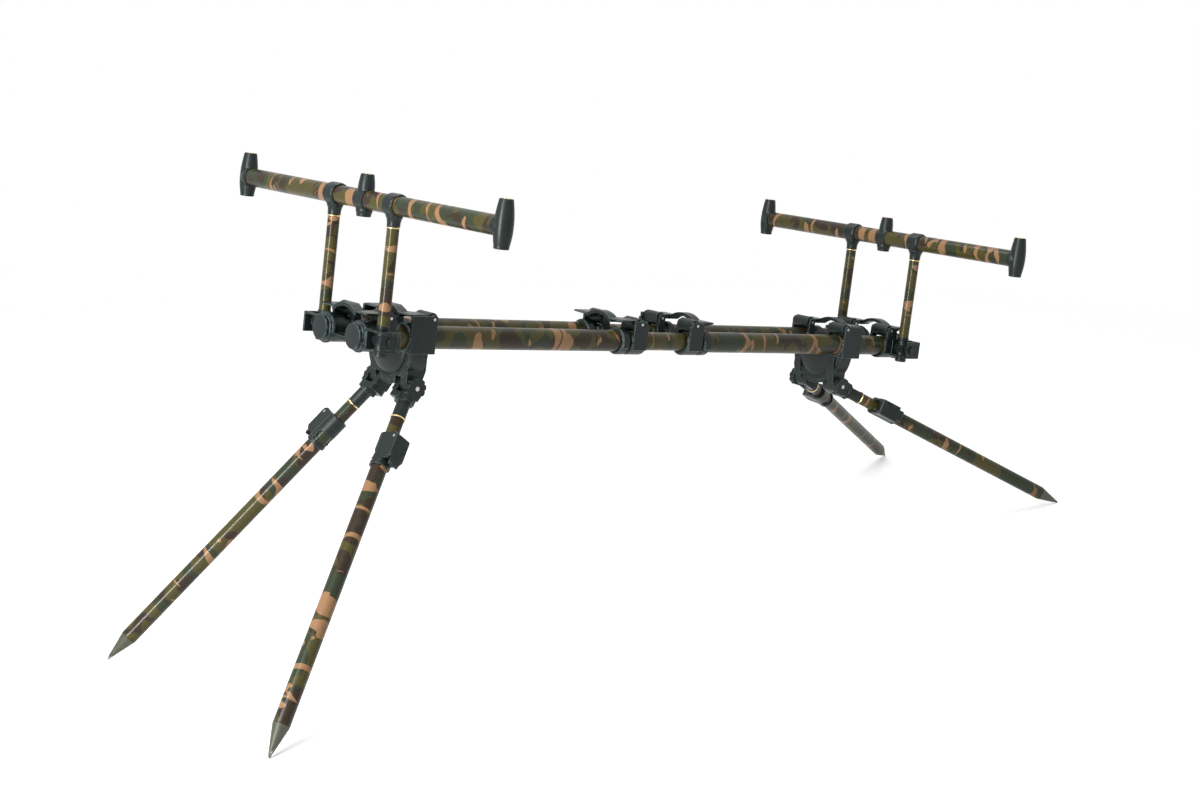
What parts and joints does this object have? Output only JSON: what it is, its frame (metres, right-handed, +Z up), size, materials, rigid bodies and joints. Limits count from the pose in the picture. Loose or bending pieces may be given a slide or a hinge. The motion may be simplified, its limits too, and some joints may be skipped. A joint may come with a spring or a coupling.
{
  "type": "rod pod",
  "caption": "Rod pod with twin telescopic rails, cam levers, splayed telescopic legs with ground spikes and fold-down buzz bars with threaded sockets for rod rests.",
  "frame": {"origin": "on the ground, below the middle of the bounding box", "axes": "+X along the rails towards the lower end, +Y across the pod away from the pictured side, +Z up"},
  "size_m": [1.2668, 0.4956, 0.5299],
  "materials": {
    "camo_tube": "satin woodland camouflage coating on aluminium tube",
    "moulding": "satin dark grey-green moulded plastic",
    "steel": "bright pin ends",
    "brass": "threaded brass insert"
  },
  "bodies": {
    "centre": {"inner_tube_near": "camo_tube", "inner_tube_far": "camo_tube"},
    "left_beam": {"left_outer_tubes": "camo_tube", "left_centre_clamp": "moulding", "left_end_bracket": "moulding", "left_end_caps": "moulding", "left_rail_pins": "steel"},
    "left_centre_lever_body": {"left_centre_lever": "moulding"},
    "left_end_lever_body": {"left_end_lever": "moulding"},
    "left_head": {"left_head_clamp": "moulding", "left_leg_block": "moulding", "left_head_pins": "steel"},
    "left_head_lever_body": {"left_head_lever": "moulding"},
    "left_buzz": {"left_buzz_bar": "camo_tube", "left_uprights": "camo_tube", "left_upright_feet": "moulding", "left_upright_ties": "moulding", "left_rod_sockets": "moulding", "left_thread_inserts": "brass"},
    "left_near_leg_top": {"left_near_knuckle": "moulding", "left_near_upper_tube": "camo_tube"},
    "left_near_leg": {"left_near_lower_tube": "camo_tube", "left_near_collar": "moulding", "left_near_lever_pin": "steel"},
    "left_near_leg_lever_body": {"left_near_leg_lever": "moulding"},
    "left_far_leg_top": {"left_far_knuckle": "moulding", "left_far_upper_tube": "camo_tube"},
    "left_far_leg": {"left_far_lower_tube": "camo_tube", "left_far_collar": "moulding", "left_far_lever_pin": "steel"},
    "left_far_leg_lever_body": {"left_far_leg_lever": "moulding"},
    "right_beam": {"right_outer_tubes": "camo_tube", "right_centre_clamp": "moulding", "right_end_bracket": "moulding", "right_end_caps": "moulding", "right_rail_pins": "steel"},
    "right_centre_lever_body": {"right_centre_lever": "moulding"},
    "right_end_lever_body": {"right_end_lever": "moulding"},
    "right_head": {"right_head_clamp": "moulding", "right_leg_block": "moulding", "right_head_pins": "steel"},
    "right_head_lever_body": {"right_head_lever": "moulding"},
    "right_buzz": {"right_buzz_bar": "camo_tube", "right_uprights": "camo_tube", "right_upright_feet": "moulding", "right_upright_ties": "moulding", "right_rod_sockets": "moulding", "right_thread_inserts": "brass"},
    "right_near_leg_top": {"right_near_knuckle": "moulding", "right_near_upper_tube": "camo_tube"},
    "right_near_leg": {"right_near_lower_tube": "camo_tube", "right_near_collar": "moulding", "right_near_lever_pin": "steel"},
    "right_near_leg_lever_body": {"right_near_leg_lever": "moulding"},
    "right_far_leg_top": {"right_far_knuckle": "moulding", "right_far_upper_tube": "camo_tube"},
    "right_far_leg": {"right_far_lower_tube": "camo_tube", "right_far_collar": "moulding", "right_far_lever_pin": "steel"},
    "right_far_leg_lever_body": {"right_far_leg_lever": "moulding"}
  },
  "joints": [
    {"name": "left_beam_slide", "type": "slide", "parent": "centre", "child": "left_beam", "axis": [-0.9879, 0, 0.1554], "range_m": [-0.03, 0.135]},
    {"name": "left_head_slide", "type": "slide", "parent": "left_beam", "child": "left_head", "axis": [-0.9879, 0, 0.1554], "range_m": [-0.03, 0.013]},
    {"name": "left_centre_lever_turn", "type": "hinge", "parent": "left_beam", "child": "left_centre_lever_body", "pos_m": [-0.04113, 0, 0.32723], "axis": [0, 1, 0], "range_deg": [0, 70]},
    {"name": "left_end_lever_turn", "type": "hinge", "parent": "left_beam", "child": "left_end_lever_body", "pos_m": [-0.3928, 0, 0.38255], "axis": [0, 1, 0], "range_deg": [0, 70]},
    {"name": "left_head_lever_turn", "type": "hinge", "parent": "left_head", "child": "left_head_lever_body", "pos_m": [-0.33748, 0, 0.37385], "axis": [0, 1, 0], "range_deg": [0, 70]},
    {"name": "left_buzz_fold", "type": "hinge", "parent": "left_beam", "child": "left_buzz", "pos_m": [-0.41156, 0, 0.36374], "axis": [0, 1, 0], "range_deg": [0, 80]},
    {"name": "left_near_leg_fold", "type": "hinge", "parent": "left_head", "child": "left_near_leg_top", "pos_m": [-0.3591, -0.029, 0.30082], "axis": [0, 1, 0], "range_deg": [-33.4, 54]},
    {"name": "left_near_leg_slide", "type": "slide", "parent": "left_near_leg_top", "child": "left_near_leg", "axis": [-0.6372, -0.3239, -0.6993], "range_m": [-0.018, 0.18]},
    {"name": "left_near_leg_lever_turn", "type": "hinge", "parent": "left_near_leg", "child": "left_near_leg_lever_body", "pos_m": [-0.39953, -0.06668, 0.25645], "axis": [-0.7392, 0, 0.6735], "range_deg": [0, 70]},
    {"name": "left_far_leg_fold", "type": "hinge", "parent": "left_head", "child": "left_far_leg_top", "pos_m": [-0.3591, 0.029, 0.30082], "axis": [0, 1, 0], "range_deg": [-33.4, 54]},
    {"name": "left_far_leg_slide", "type": "slide", "parent": "left_far_leg_top", "child": "left_far_leg", "axis": [-0.6372, 0.3239, -0.6993], "range_m": [-0.018, 0.18]},
    {"name": "left_far_leg_lever_turn", "type": "hinge", "parent": "left_far_leg", "child": "left_far_leg_lever_body", "pos_m": [-0.39953, 0.06668, 0.25645], "axis": [0.7392, 0, -0.6735], "range_deg": [0, 70]},
    {"name": "right_beam_slide", "type": "slide", "parent": "centre", "child": "right_beam", "axis": [0.9879, 0, -0.1554], "range_m": [-0.03, 0.135]},
    {"name": "right_head_slide", "type": "slide", "parent": "right_beam", "child": "right_head", "axis": [0.9879, 0, -0.1554], "range_m": [0, 0.043]},
    {"name": "right_centre_lever_turn", "type": "hinge", "parent": "right_beam", "child": "right_centre_lever_body", "pos_m": [0.04778, 0, 0.31325], "axis": [0, -1, 0], "range_deg": [0, 70]},
    {"name": "right_end_lever_turn", "type": "hinge", "parent": "right_beam", "child": "right_end_lever_body", "pos_m": [0.39945, 0, 0.25792], "axis": [0, -1, 0], "range_deg": [0, 70]},
    {"name": "right_head_lever_turn", "type": "hinge", "parent": "right_head", "child": "right_head_lever_body", "pos_m": [0.3145, 0, 0.27129], "axis": [0, -1, 0], "range_deg": [0, 70]},
    {"name": "right_buzz_fold", "type": "hinge", "parent": "right_beam", "child": "right_buzz", "pos_m": [0.41152, 0, 0.23426], "axis": [0, -1, 0], "range_deg": [0, 80]},
    {"name": "right_near_leg_fold", "type": "hinge", "parent": "right_head", "child": "right_near_leg_top", "pos_m": [0.31264, -0.029, 0.19515], "axis": [0, -1, 0], "range_deg": [-67.7, 19.5]},
    {"name": "right_near_leg_slide", "type": "slide", "parent": "right_near_leg_top", "child": "right_near_leg", "axis": [0.8089, -0.3239, -0.4907], "range_m": [-0.018, 0.18]},
    {"name": "right_near_leg_lever_turn", "type": "hinge", "parent": "right_near_leg", "child": "right_near_leg_lever_body", "pos_m": [0.36397, -0.06668, 0.16402], "axis": [-0.5186, 0, -0.855], "range_deg": [0, 70]},
    {"name": "right_far_leg_fold", "type": "hinge", "parent": "right_head", "child": "right_far_leg_top", "pos_m": [0.31264, 0.029, 0.19515], "axis": [0, -1, 0], "range_deg": [-67.7, 19.5]},
    {"name": "right_far_leg_slide", "type": "slide", "parent": "right_far_leg_top", "child": "right_far_leg", "axis": [0.8089, 0.3239, -0.4907], "range_m": [-0.018, 0.18]},
    {"name": "right_far_leg_lever_turn", "type": "hinge", "parent": "right_far_leg", "child": "right_far_leg_lever_body", "pos_m": [0.36397, 0.06668, 0.16402], "axis": [0.5186, 0, 0.855], "range_deg": [0, 70]}
  ]
}
